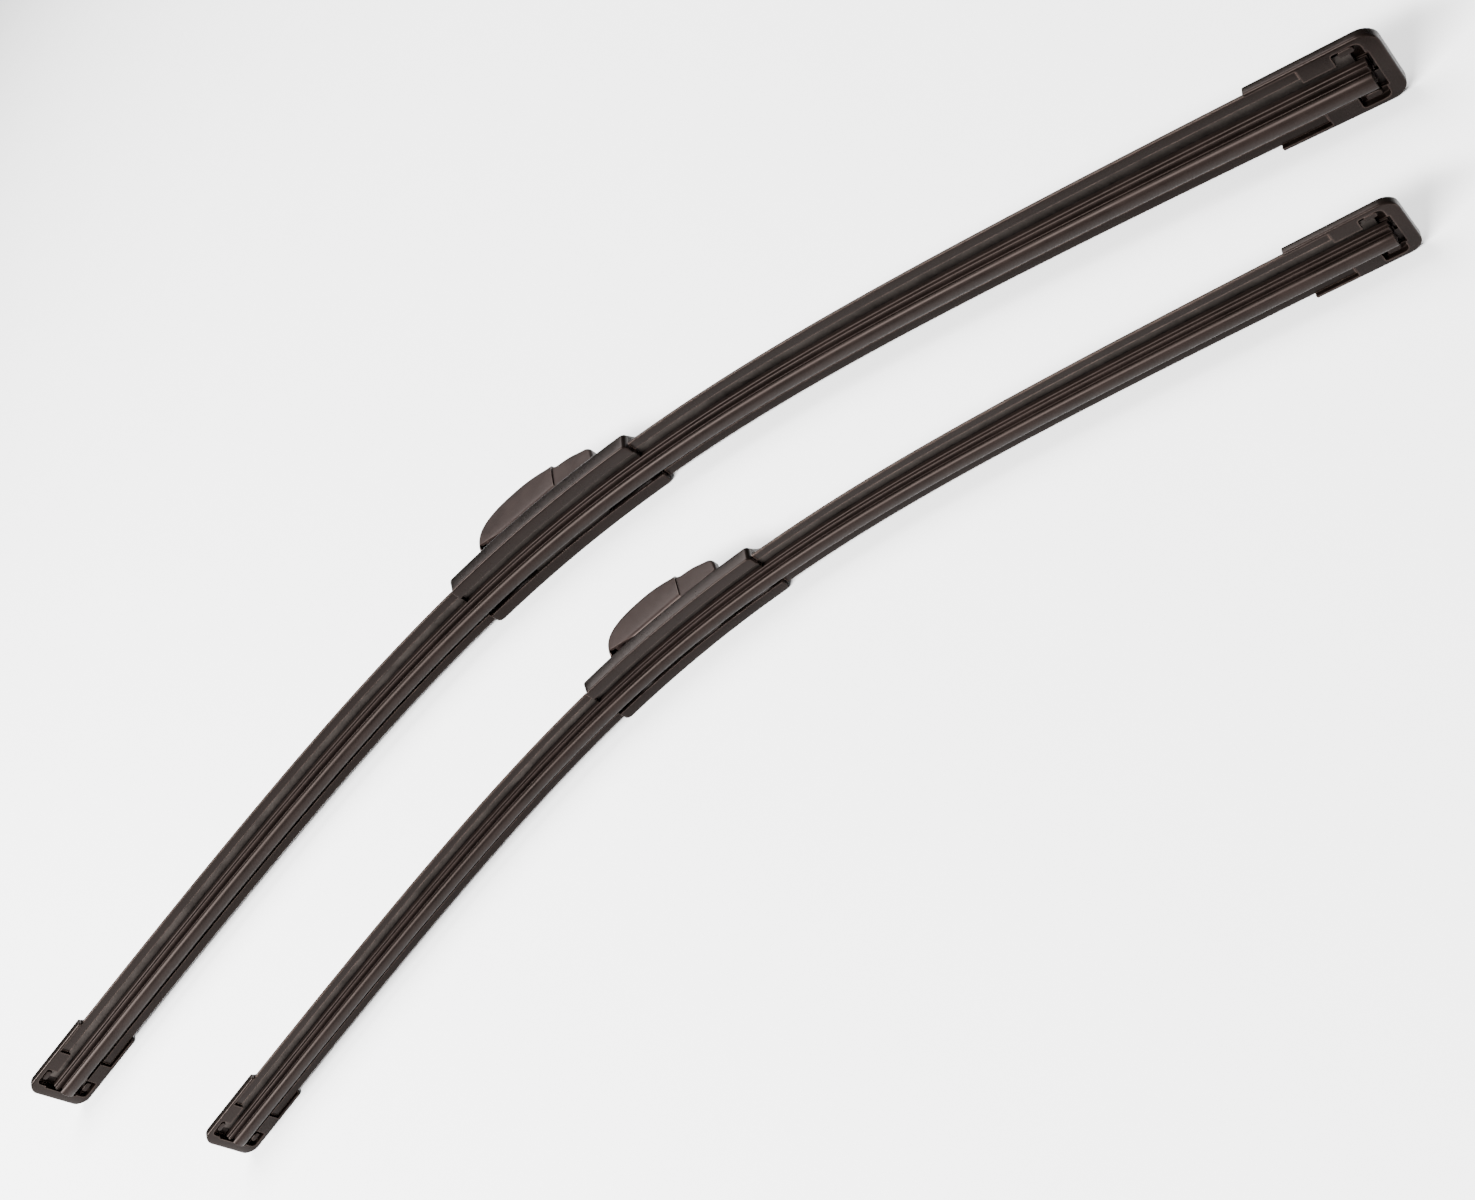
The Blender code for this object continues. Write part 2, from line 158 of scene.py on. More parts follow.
def place(blade, station, across, out):
    """A point of the blade: along the curved beam, across it, and out of it."""
    slope = slope_at(blade, station)
    point = beam_point(blade, station) + out * Vector((math.sin(slope), math.cos(slope)))
    return Vector((point.x, point.y, across))


for blade in blades.values():
    blade["points"] = beam_table(blade)
    drop = -blade["points"][-2].y
    print(blade["name"], "blade's ends drop by", round(drop, 1), "mm of its drawing")

# %% [markdown]
# ## Outlines with round corners
#
# Moulded plastic and extruded rubber have no knife edges. A Bevel modifier could round them at
# the end, but it meets trouble where many small faces come together. The outlines here are
# rounded before they become solid: each corner says how much of its sides it gives up to a curve.

# %% Round the corners of an outline
def rounded(corners, steps=4):
    """Corners are (x, y, cut). The cut is how far from the corner the round begins."""
    points = []
    for number, (x, y, cut) in enumerate(corners):
        corner = Vector((x, y))
        if cut == 0:
            points.append(corner)
            continue
        sides = [Vector(corners[number - 1][:2]) - corner]
        sides.append(Vector(corners[(number + 1) % len(corners)][:2]) - corner)
        first, last = (corner + side.normalized() * min(cut, side.length * 0.48) for side in sides)
        for step in range(steps + 1):
            part = step / steps
            points.append(first.lerp(corner, part).lerp(corner.lerp(last, part), part))
    return points


def inset(points, amount):
    """The same outline, drawn smaller by an amount all round."""
    count = len(points)
    area = sum(points[i - 1].cross(points[i]) for i in range(count))
    moved = []
    for i in range(count):
        before = (points[i] - points[i - 1]).normalized()
        after = (points[(i + 1) % count] - points[i]).normalized()
        along = before + after
        inward = Vector((-along.y, along.x)).normalized() * math.copysign(1, area)
        lean = max(abs(inward.cross(before)), 0.6)
        moved.append(points[i] + inward * amount / lean)
    return moved


print("a rounded square has", len(rounded([(0, 0, 1), (4, 0, 1), (4, 4, 1), (0, 4, 1)])), "points")

# %% [markdown]
# ## Solids from rings
#
# A curve object with a bevel profile would sweep a section along a path, but it can't round off
# its own ends. Here a solid is a row of rings joined by faces, so the last rings can be drawn
# smaller and smaller, and the end becomes round. The faces also get a texture map in metres,
# along the blade and round its section, which the extruded materials need later.

# %% Join rings into a solid
MM = 0.001


def add_piece(name, shape):
    """Makes an object from a bmesh. It stays in the drawing's millimetres until it is finished."""
    bmesh.ops.recalc_face_normals(shape, faces=shape.faces)
    mesh = bpy.data.meshes.new(name)
    shape.to_mesh(mesh)
    shape.free()
    piece = bpy.data.objects.new(name, mesh)
    bpy.context.scene.collection.objects.link(piece)
    return piece


def join_rings(name, rings, stations):
    """Joins rings of equally many points with faces, and closes both ends."""
    shape = bmesh.new()
    chart = shape.loops.layers.uv.new("extrusion")
    rows = [[shape.verts.new(point) for point in ring] for ring in rings]
    count = len(rows[0])
    round_it = [0]
    for number in range(count):
        round_it.append(round_it[-1] + (rings[0][number] - rings[0][(number + 1) % count]).length)
    for row in range(len(rows) - 1):
        for number in range(count):
            following = (number + 1) % count
            face = shape.faces.new((rows[row][number], rows[row][following],
                                    rows[row + 1][following], rows[row + 1][number]))
            spots = [(row, number), (row, number + 1), (row + 1, number + 1), (row + 1, number)]
            for loop, (station, turn) in zip(face.loops, spots):
                loop[chart].uv = (stations[station] * MM, round_it[turn] * MM)
    shape.faces.new(rows[0])
    shape.faces.new(rows[-1])
    return add_piece(name, shape)


print("one millimetre of the drawing is", MM, "m")

# %% [markdown]
# A long piece needs few rings along its middle and many where its ends turn. Even steps would
# either waste faces or leave the ends coarse, so the stations are chosen by the angle that the
# end turns.

# %% Choose the stations and carry an outline through them
RIM_ANGLES = (0, 30, 60, 90)
CORNER_ANGLES = range(15, 91, 15)


def end_steps(start, end, radius, corner=0, spacing=4):
    """Stations from start to end, each with how much the section shrinks there.

    The last stations lie closer together, where the rim or a round corner of the plan turns."""
    near = {radius * (1 - math.cos(math.radians(angle))) for angle in RIM_ANGLES}
    if corner:
        near |= {corner * (1 - math.cos(math.radians(angle))) for angle in CORNER_ANGLES}
    opening = []
    for depth in sorted(near):
        left = max(radius - depth, 0)
        opening.append((start + depth, radius - math.sqrt(radius ** 2 - left ** 2)))
    closing = [(end - (station - start), shrink) for station, shrink in reversed(opening)]
    first, last = opening[-1][0], closing[0][0]
    count = max(2, round((last - first) / spacing))
    middle = [(first + (last - first) * number / count, 0) for number in range(1, count)]
    return opening + middle + closing


def extrude(name, outline, steps, at, narrow=None, lower=None):
    """Carries an outline of (across, out) points through stations. at() gives a point's place.

    lower() moves a point before the outline is drawn smaller, and narrow() moves it afterwards."""
    rings = []
    for station, shrink in steps:
        ring = [lower(point, station) for point in outline] if lower else outline
        ring = inset(ring, shrink) if shrink else ring
        ring = [narrow(point, station) for point in ring] if narrow else ring
        rings.append([at(station, point.x, point.y) for point in ring])
    return join_rings(name, rings, [station for station, _ in steps])


def extrude_along(blade, name, outline, steps, narrow=None):
    """Carries an outline along the beam of a blade."""
    return extrude(name, outline, steps, lambda *spot: place(blade, *spot), narrow)


print("a 10 mm piece with a quarter millimetre rim takes", len(end_steps(0, 10, 0.25)), "stations")

# %% [markdown]
# ## Plates, blocks and rods
#
# The connector's pieces are flat outlines with a thickness. An extruded curve would do for a
# plain one. A plate here can also have soft rims: its outline is drawn smaller step by step
# towards each side face, like a pillow.

# %% Make plates
RIM_STEPS = 6


def plate(name, outline, low, high, rim=0, floor=None, seam=None):
    """A flat outline between two heights, with its rims rounded.

    Points on the floor stay on it, and points on the seam keep their place along the beam."""
    levels = [(low, 0), (high, 0)]
    if rim:
        turns = [math.pi / 2 * step / RIM_STEPS for step in range(RIM_STEPS + 1)]
        near = [(low + rim * (1 - math.sin(turn)), rim * (1 - math.cos(turn)))
                for turn in reversed(turns)]
        levels = near + [(low + high - level, shrink) for level, shrink in reversed(near)]
    rings = []
    for level, shrink in levels:
        ring = inset(outline, shrink) if shrink else outline
        if floor is not None:
            ring = [Vector((point.x, was.y if was.y <= floor else max(point.y, floor)))
                    for point, was in zip(ring, outline)]
        if seam is not None:
            ring = [Vector((was.x if abs(was.x - seam) < 0.02 else point.x, point.y))
                    for point, was in zip(ring, outline)]
        rings.append([Vector((point.x, point.y, level)) for point in ring])
    return join_rings(name, rings, [level for level, _ in levels])


print("a soft rim turns in", RIM_STEPS, "steps")

# %% [markdown]
# Blocks and rods are the tools that cut rooms and bores, and some of the inner parts. Blender's
# own cube and cone operators make them, straight into a bmesh, so nothing has to be selected or
# renamed.

# %% Make blocks and rods
ROD_SIDES = 48


def block(name, low, high):
    """A block from its lowest to its highest corner."""
    shape = bmesh.new()
    size = Vector(high) - Vector(low)
    bmesh.ops.create_cube(shape, size=1, matrix=Matrix.Diagonal((*size, 1)))
    bmesh.ops.translate(shape, verts=shape.verts, vec=Vector(low) + size / 2)
    return add_piece(name, shape)


def rod(name, centre, radius, low, high):
    """A round rod across the blade, from low to high."""
    shape = bmesh.new()
    bmesh.ops.create_cone(shape, cap_ends=True, segments=ROD_SIDES, radius1=radius, radius2=radius,
                          depth=high - low)
    bmesh.ops.translate(shape, verts=shape.verts, vec=(*centre, (low + high) / 2))
    return add_piece(name, shape)


print("a rod has", ROD_SIDES, "sides")

# %% [markdown]
# ## Cuts, and each piece in its place
#
# Holes and pockets are cut with the exact Boolean solver. A modifier could stay on the piece, but
# the result is stored in the mesh here, so that no cutter stays in the scene. A finished piece is
# then moved from its drawing to its real place. It is smooth all over except where faces meet at
# more than the sharp angle, which is what a real moulding shows.

# %% Carve a piece and finish it
SHARP_ANGLE = math.radians(32)


def carve(piece, operation, *tools):
    """Cuts tools out of a piece, or joins them to it, and removes the tools."""
    for tool in tools:
        step = piece.modifiers.new(tool.name, "BOOLEAN")
        step.operation = operation
        step.object = tool
        step.solver = "EXACT"
    bpy.context.view_layer.update()
    seen = piece.evaluated_get(bpy.context.evaluated_depsgraph_get())
    carved = bpy.data.meshes.new_from_object(seen)
    piece.modifiers.clear()
    piece.data = carved
    for tool in tools:
        bpy.data.objects.remove(tool)


def finish_piece(piece, matrix, material, body, slot, *nodes):
    """Puts a piece in its real place, gives it its finish and its body, and hides the nodes it
    replaces.
    """
    piece.data.transform(matrix)
    if matrix.determinant() < 0:
        piece.data.flip_normals()
    piece.data.materials.clear()
    piece.data.materials.append(material)
    piece.data.shade_smooth()
    piece.data.set_sharp_from_angle(angle=SHARP_ANGLE)
    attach(piece, body)
    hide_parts(*nodes)
    return piece


print("edges stay sharp above", round(math.degrees(SHARP_ANGLE)), "degrees")

# %% [markdown]
# ## Effects that several finishes share
#
# Four things make moulded plastic and rubber look real. The mould leaves a fine grain. Extruded
# strips carry faint lines along their length. Edges that hands and tools touch get rubbed a little
# paler, and that paler edge colour is also a painted highlight along the rounded edges. And a
# little dust settles on what faces up. Each is a node group with named sockets, built once and
# used in every material with its own values, so a change in one place changes them all. Wiring
# nodes by hand takes many lines, so three short helpers come first.

# %% A short way to write node trees
def new_group(name, inputs, outputs):
    """Starts a node group whose sockets all carry plain values."""
    tree = bpy.data.node_groups.new(name, "ShaderNodeTree")
    for socket, value in inputs.items():
        made = tree.interface.new_socket(name=socket, in_out="INPUT",
                                         socket_type="NodeSocketFloat")
        made.default_value = value
    for socket in outputs:
        tree.interface.new_socket(name=socket, in_out="OUTPUT", socket_type="NodeSocketFloat")
    return tree, tree.nodes.new("NodeGroupInput"), tree.nodes.new("NodeGroupOutput")


def add_node(tree, kind, settings=None, **sockets):
    """Adds a node. A socket takes a value, or an output of another node to link to."""
    node = tree.nodes.new("ShaderNode" + kind)
    for setting, value in (settings or {}).items():
        setattr(node, setting, value)
    for socket, value in sockets.items():
        entry = node.inputs[int(socket[1:])] if socket[1:].isdigit() else node.inputs[socket]
        if isinstance(value, bpy.types.NodeSocket):
            tree.links.new(value, entry)
        else:
            entry.default_value = value
    return node


def maths(tree, operation, first, second, clamp=False):
    settings = {"operation": operation, "use_clamp": clamp}
    return add_node(tree, "Math", settings, _0=first, _1=second).outputs[0]


print("node groups so far:", len(bpy.data.node_groups))

# %% [markdown]
# A steel mould is etched or blasted, and every piece copies its grain. An image of grain could be
# laid over the piece, but noise in the object's own space needs no texture map and shows no
# seams. A second, much wider noise gives the slow change of tone that keeps a black surface from
# looking flat.

# %% Moulded grain
tree, given, result = new_group("moulded grain", {"Grains per metre": 3000}, ["Height", "Mottle"])
spot = add_node(tree, "TexCoord").outputs["Object"]
grain = add_node(tree, "TexNoise", Vector=spot, Scale=given.outputs[0], Detail=3.0, Roughness=0.6)
mottle = add_node(tree, "TexNoise", Vector=spot, Scale=90.0, Detail=4.0, Roughness=0.65)
tree.links.new(grain.outputs["Fac"], result.inputs["Height"])
tree.links.new(mottle.outputs["Fac"], result.inputs["Mottle"])
MOULDED_GRAIN = tree
print("moulded grain:", len(tree.nodes), "nodes")

# %% [markdown]
# Rubber pressed through a die keeps faint lines from it, straight along the strip. Noise in the
# object's space can't follow a curved beam. The texture map from the rings can, so here the noise
# is stretched along the map's first direction and tight along its second.

# %% Extrusion lines
tree, given, result = new_group("extrusion lines", {"Lines per metre": 2500}, ["Height", "Tone"])
chart = add_node(tree, "UVMap", {"uv_map": "extrusion"}).outputs[0]
split = add_node(tree, "SeparateXYZ", _0=chart)
along = maths(tree, "MULTIPLY", split.outputs["X"], 9.0)
across = maths(tree, "MULTIPLY", split.outputs["Y"], given.outputs[0])
stretched = add_node(tree, "CombineXYZ", _0=along, _1=across)
lines = add_node(tree, "TexNoise", Vector=stretched.outputs[0], Scale=1.0, Detail=3.0,
                 Roughness=0.55)
broad = maths(tree, "MULTIPLY", split.outputs["Y"], 320.0)
banded = add_node(tree, "CombineXYZ", _0=along, _1=broad)
bands = add_node(tree, "TexNoise", Vector=banded.outputs[0], Scale=1.0, Detail=2.0)
tree.links.new(lines.outputs["Fac"], result.inputs["Height"])
tree.links.new(bands.outputs["Fac"], result.inputs["Tone"])
EXTRUSION_LINES = tree
print("extrusion lines:", len(tree.nodes), "nodes")

# %% [markdown]
# The paler edges, a little wear and a painted highlight, need to know where the edges are.
# Pointiness would tell, but it depends on how dense the mesh is. The Bevel node compares each
# point's direction with that of its neighbours instead, so it finds an edge on any mesh. A patchy
# noise breaks the line up, because no edge wears evenly.

# %% Paler edges: a little wear and a painted highlight
tree, given, result = new_group("edge wear and painted highlight", {"Reach": 0.0005, "Strength": 1.0}, ["Mask"])
softened = add_node(tree, "Bevel", {"samples": 6}, Radius=given.outputs[0])
facing = add_node(tree, "NewGeometry")
agree = add_node(tree, "VectorMath", {"operation": "DOT_PRODUCT"}, _0=softened.outputs[0],
                 _1=facing.outputs["Normal"])
differ = maths(tree, "SUBTRACT", 1.0, agree.outputs["Value"])
edge = maths(tree, "MULTIPLY", differ, 12.0, clamp=True)
spot = add_node(tree, "TexCoord").outputs["Object"]
patches = add_node(tree, "TexNoise", Vector=spot, Scale=260.0, Detail=3.0)
uneven = add_node(tree, "MapRange", _0=patches.outputs["Fac"], _1=0.35, _2=0.65, _3=0.45, _4=1.0)
# The edges are made paler for a little wear and for a painted highlight along the rounded edges.
wear_and_highlight = maths(tree, "MULTIPLY", edge, uneven.outputs[0])
tree.links.new(maths(tree, "MULTIPLY", wear_and_highlight, given.outputs[1], clamp=True), result.inputs["Mask"])
WORN_AND_HIGHLIT_EDGES = tree
print("edge wear and painted highlight:", len(tree.nodes), "nodes")

# %% [markdown]
# Dust lies only on what faces up, and in specks. Particles would be real geometry and far too
# heavy for that. The upright part of the surface's direction gives the same result as a mask, and
# a fine noise breaks it into specks.

# %% Settled dust
tree, given, result = new_group("settled dust", {"Amount": 0.15}, ["Mask"])
facing = add_node(tree, "NewGeometry")
height = add_node(tree, "SeparateXYZ", _0=facing.outputs["Normal"]).outputs["Z"]
upward = add_node(tree, "MapRange", _0=height, _1=0.2, _2=1.0, _3=0.25, _4=1.0)
spot = add_node(tree, "TexCoord").outputs["Object"]
specks = add_node(tree, "TexNoise", Vector=spot, Scale=700.0, Detail=5.0, Roughness=0.7)
patchy = add_node(tree, "MapRange", _0=specks.outputs["Fac"], _1=0.42, _2=0.72, _3=0.1, _4=1.0)
dusty = maths(tree, "MULTIPLY", upward.outputs[0], patchy.outputs[0])
tree.links.new(maths(tree, "MULTIPLY", dusty, given.outputs[0], clamp=True), result.inputs["Mask"])
SETTLED_DUST = tree
print("settled dust:", len(tree.nodes), "nodes")

# %% [markdown]
# ## The finishes
#
# The shells are a satin black plastic that looks warm and a little brown in soft light. The covers
# and adapters are the same plastic, painted a shade lighter as painted light on the dome that
# faces up. The spoilers are a softer plastic, extruded, with pale edges that are a little wear and
# a painted highlight. The rubber carries a faint graphite bloom, because makers coat it to slide
# quietly.
# One material with many switches could serve them all, but a function that builds one material
# for each is easier to read. Black plastic shows mostly its reflections, so the colours are very
# dark and the tint and strength of the reflection are what the eye judges.

# %% Plastic and rubber
DUST_AMOUNT = 0.01
DUST_COLOUR = (0.16, 0.145, 0.13, 1)
GRAIN_RELIEF = 0.2
SHEEN_STRENGTH = 0.095
WARM_SHEEN = (1, 0.78, 0.71, 1)


def group_node(tree, group, values):
    node = tree.nodes.new("ShaderNodeGroup")
    node.node_tree = group
    for socket, value in values.items():
        node.inputs[socket].default_value = value
    return node


def blend_colour(tree, mask, first, second):
    """Mixes two colours. Either can be a colour or another node's output."""
    node = add_node(tree, "Mix", {"data_type": "RGBA"}, _0=mask, _6=first, _7=second)
    return node.outputs[2]


def dark_finish(name, deep, bloom, wear_and_highlight, roughness, grains, wear_and_highlight_strength, lines=None, edge=0.0005):
    """A black moulded or extruded finish. Its colours run from deep over bloom to pale edges,
    which are a little wear and a painted highlight.
    """
    made = bpy.data.materials.new(name)
    made.use_nodes = True
    tree = made.node_tree
    shader = tree.nodes["Principled BSDF"]
    grain = group_node(tree, MOULDED_GRAIN, {"Grains per metre": grains})
    edges = group_node(tree, WORN_AND_HIGHLIT_EDGES, {"Reach": edge, "Strength": wear_and_highlight_strength})
    settled = group_node(tree, SETTLED_DUST, {"Amount": DUST_AMOUNT})
    height, tone = grain.outputs["Height"], grain.outputs["Mottle"]
    if lines:
        strip = group_node(tree, EXTRUSION_LINES, {"Lines per metre": lines})
        height = maths(tree, "ADD", maths(tree, "MULTIPLY", height, 0.4), strip.outputs["Height"])
        tone = maths(tree, "MULTIPLY", maths(tree, "ADD", tone, strip.outputs["Tone"]), 0.5)
    spread = add_node(tree, "MapRange", _0=tone, _1=0.35, _2=0.65, _3=0.0, _4=1.0).outputs[0]
    colour = blend_colour(tree, spread, (*deep, 1), (*bloom, 1))
    colour = blend_colour(tree, settled.outputs["Mask"], colour, DUST_COLOUR)
    # Pale edges: a little wear and a painted highlight.
    colour = blend_colour(tree, edges.outputs["Mask"], colour, (*wear_and_highlight, 1))
    tree.links.new(colour, shader.inputs["Base Color"])
    low, high = roughness
    satin = add_node(tree, "MapRange", _0=tone, _1=0.35, _2=0.65, _3=low, _4=high).outputs[0]
    smoother = maths(tree, "MULTIPLY", edges.outputs["Mask"], -0.12)
    tree.links.new(maths(tree, "ADD", satin, smoother), shader.inputs["Roughness"])
    bump = add_node(tree, "Bump", Strength=GRAIN_RELIEF, Distance=0.0001, Height=height)
    tree.links.new(bump.outputs[0], shader.inputs["Normal"])
    shader.inputs["IOR"].default_value = 1.5
    shader.inputs["Specular IOR Level"].default_value = SHEEN_STRENGTH
    shader.inputs["Specular Tint"].default_value = WARM_SHEEN
    made.diffuse_color = (*bloom, 1)
    print(name, "has", len(tree.nodes), "nodes")
    return made


# The third colour of each finish is its pale edge: a little wear and a painted highlight.
SHELL = dark_finish("satin shell plastic", (0.0012, 0.0007, 0.0005), (0.0026, 0.0016, 0.0013),
                    (0.060, 0.042, 0.036), (0.25, 0.33), 3200, wear_and_highlight_strength=0.45)
# The cover and the adapter get the shell plastic's colours made lighter: painted light for the
# dome that faces up.
SHELL_PAINTED_LIGHTER = dark_finish("satin shell plastic painted lighter", (0.0075, 0.0048, 0.0043), (0.0120, 0.0079, 0.0071),
                    (0.050, 0.036, 0.031), (0.36, 0.46), 3600, wear_and_highlight_strength=0.6)
SPOILER = dark_finish("soft spoiler plastic", (0.0010, 0.0006, 0.0004), (0.0020, 0.0012, 0.0009),
                      (0.110, 0.077, 0.065), (0.23, 0.31), 2600, wear_and_highlight_strength=0.7, lines=2600,
                      edge=0.0006)
RUBBER = dark_finish("graphite rubber", (0.0022, 0.0014, 0.0011), (0.0070, 0.0045, 0.0038),
                     (0.020, 0.014, 0.012), (0.34, 0.46), 4200, wear_and_highlight_strength=0.5, lines=3400)

# %% [markdown]
# The strips are rolled steel, blackened against rust, and the pins are bright drawn wire. Both
# carry fine scratches in one direction. An anisotropic sheen would show them too, but noise
# stretched along the object works in every viewer, and a second noise adds the stains that
# handling leaves.

# %% Steel
def steel_finish(name, colour, roughness):
    """A brushed metal between two values of roughness, with darker stains."""
    made = bpy.data.materials.new(name)
    made.use_nodes = True
    tree = made.node_tree
    shader = tree.nodes["Principled BSDF"]
    spot = add_node(tree, "TexCoord").outputs["Object"]
    drawn = add_node(tree, "Mapping", Vector=spot, Scale=(40.0, 2600.0, 2600.0)).outputs[0]
    brushed = add_node(tree, "TexNoise", Vector=drawn, Scale=1.0, Detail=4.0, Roughness=0.6)
    stains = add_node(tree, "TexNoise", Vector=spot, Scale=120.0, Detail=5.0).outputs["Fac"]
    dull = tuple(value * 0.62 for value in colour)
    shade = add_node(tree, "MapRange", _0=stains, _1=0.35, _2=0.7, _3=0.0, _4=1.0).outputs[0]
    stained = blend_colour(tree, shade, (*colour, 1), (*dull, 1))
    tree.links.new(stained, shader.inputs["Base Color"])
    low, high = roughness
    rough = add_node(tree, "MapRange", _0=brushed.outputs["Fac"], _1=0.3, _2=0.7, _3=low, _4=high)
    tree.links.new(rough.outputs[0], shader.inputs["Roughness"])
    bump = add_node(tree, "Bump", Strength=0.15, Distance=0.00005, Height=brushed.outputs["Fac"])
    tree.links.new(bump.outputs[0], shader.inputs["Normal"])
    shader.inputs["Metallic"].default_value = 1.0
    print(name, "has", len(tree.nodes), "nodes")
    return made


STRIP_STEEL = steel_finish("blackened strip steel", (0.040, 0.034, 0.031), (0.42, 0.60))
PIN_STEEL = steel_finish("drawn pin steel", (0.56, 0.55, 0.54), (0.18, 0.30))

# %% [markdown]
# ## The wiping rubber
#
# One extrusion makes the whole wiping element: a head between the steel strips, a neck, a body,
# and a lip that does the wiping. The lip leans to one side, as it does while the blade lies
# still. A strip of subdivided faces could be modelled by hand, but the rubber is a true
# extrusion, so its section is drawn once, corner by corner, and carried along the beam. Each
# corner is (across, out, cut). The body is the same on both sides, so only one side of it is
# listed.

# %% Draw the rubber's section
BODY_SIDE = [(2.4, 2.9, 0.3), (2.4, 2.45, 0.15), (0.8, 2.45, 0.15), (0.8, 1.05, 0.15),
             (3.3, 1.05, 0.2), (3.3, -0.4, 0.4), (2.2, -0.6, 0.3), (2.9, -0.9, 0.25),
             (2.9, -1.3, 0.2), (2.45, -1.5, 0.15), (0.55, -0.95, 0.2)]
LIP = [(0.55, -1.9, 0.2), (1.0, -2.0, 0.25), (1.15, -2.4, 0.3), (0.6, -3.05, 0.5),
       (-0.6, -3.5, 0.7), (-2.0, -3.4, 0.8), (-3.1, -3.05, 0.6), (-3.4, -2.75, 0.2),
       (-3.1, -2.4, 0.2), (-1.4, -2.1, 0.5), (-0.55, -1.9, 0.2)]
other_side = [(-across, out, cut) for across, out, cut in reversed(BODY_SIDE)]
RUBBER_SECTION = rounded(BODY_SIDE + LIP + other_side, 3)
print("the rubber's section has", len(RUBBER_SECTION), "points")

# %% [markdown]
# The ends of the strip were cut with a blade, so they get only the smallest rim. They stop inside
# the caps, where the cap's recess shows them.

# %% Make the wiping rubber
CAP_LENGTH = 30.5
RUBBER_IN_CAP = 25.7
CUT_RIM = 0.1


def make_rubber(blade):
    end = blade["length"] / 2 - CAP_LENGTH + RUBBER_IN_CAP
    name = blade["name"] + "_wiping_rubber"
    steps = end_steps(-end, end, CUT_RIM)
    rubber = extrude_along(blade, name + "_fine", RUBBER_SECTION, steps)
    return finish_piece(rubber, blade["matrix"], RUBBER, blade["name"] + "_beam", "rubber", name)


for blade in blades.values():
    rubber = make_rubber(blade)
    print(rubber.name, "has", len(rubber.data.polygons), "faces")

# %% [markdown]
# ## The spoilers
#
# Two hollow flanks rise to a ridge that stands a little to one side, and the wind pushes them
# onto the glass. The flank's curve is a formula, a power of the way from edge to ridge, because a
# few hand-placed points would show as flats in the long reflections. The shroud and the caps have
# the same kind of section, so one function draws it for all of them.

# %% Draw a ridged section
RIDGE = (-1.9, -0.5)
FLANK_HOLLOW = 1.5
FLANK_STEPS = 14


def ridge_outline(half_width, foot, shoulder, top, inside=(), edge=0.45):
    """A ridge with two hollow flanks. The points of inside, from a foot inwards, hollow it."""
    corners = []
    for side in (1, -1):
        crest = RIDGE[1] if side > 0 else RIDGE[0]
        flank = [(side * half_width, foot, edge), (side * half_width, shoulder, edge)]
        for step in range(1, FLANK_STEPS):
            part = step / FLANK_STEPS
            across = side * half_width * (1 - part) + crest * part
            flank.append((across, shoulder + (top - shoulder) * part ** FLANK_HOLLOW, 0))
        flank.append((crest, top, 0.5))
        corners += flank if side > 0 else flank[::-1]
    corners += [(-across, out, 0.15) for across, out in inside]
    corners += [(across, out, 0.15) for across, out in reversed(inside)]
    return rounded(corners)


SPOILER_INSIDE = [(6.2, 0.5), (6.2, 1.05), (7.2, 1.05), (7.2, 2.45), (2.7, 2.45), (2.7, 3.3)]
SPOILER_SECTION = ridge_outline(9.3, 0.5, 1.45, 10.5, SPOILER_INSIDE)
print("the spoiler's section has", len(SPOILER_SECTION), "points")

# %% [markdown]
# One long spoiler could run through the connector, but the real ones are cut to length and butt
# against it. So each blade gets two, from the shroud to just inside the caps.

# %% Make the spoilers
SPOILER_START = 38.7
SPOILER_IN_CAP = 12.1


def make_spoilers(blade):
    end = blade["length"] / 2 - CAP_LENGTH + SPOILER_IN_CAP
    for label, start, stop in (("left", -end, -SPOILER_START), ("right", SPOILER_START, end)):
        name = f"{blade['name']}_spoiler_{label}"
        steps = end_steps(start, stop, CUT_RIM)
        spoiler = extrude_along(blade, name + "_fine", SPOILER_SECTION, steps)
        body = blade["name"] + "_beam"
        finish_piece(spoiler, blade["matrix"], SPOILER, body, "spoiler_plastic", name)
        print(spoiler.name, "has", len(spoiler.data.polygons), "faces")


for blade in blades.values():
    make_spoilers(blade)

# %% [markdown]
# ## The connector's shroud
#
# The shroud hides the steel cradle. Seen from above its four corners are round, and its edges are
# softer than the spoiler's. A bevel could round those corners, but it would meet the soft edges
# in a knot of small faces. Instead the outer points move in towards each end, along a quarter
# circle.

# %% Round the corners in plan
def round_plan(half, keep, radius, start, end):
    """Moves points beyond keep towards the middle, near the ends, for round corners in plan."""
    def narrow(point, station):
        depth = min(station - start, end - station)
        if depth >= radius or abs(point.x) <= keep:
            return point
        left = radius - max(depth, 0)
        edge = half - radius + math.sqrt(radius ** 2 - left ** 2)
        share = (edge - keep) / (half - keep)
        return Vector((math.copysign(keep + (abs(point.x) - keep) * share, point.x), point.y))
    return narrow


HALF_WIDTH = 10.6
MOULDED_EDGE = 0.7
MOULDED_RIM = 0.4
print("the connector and the caps are", 2 * HALF_WIDTH, "mm wide")

# %% [markdown]
# The well for the adapter is cut out last, right through the ridge. It could be left open in the
# section instead, but then the end walls, which hold the shroud together, would be missing.

# %% Make the shroud
SHROUD_END = 38.35
SHROUD_CORNER = 1.7
SHROUD_KEEP = 8.6
SHROUD_INSIDE = [(6.4, -0.9), (6.4, 0), (8.4, 0), (8.4, 4.4)]
WELL = ((-30.8, 1, -8.6), (30.8, 15, 8.6))


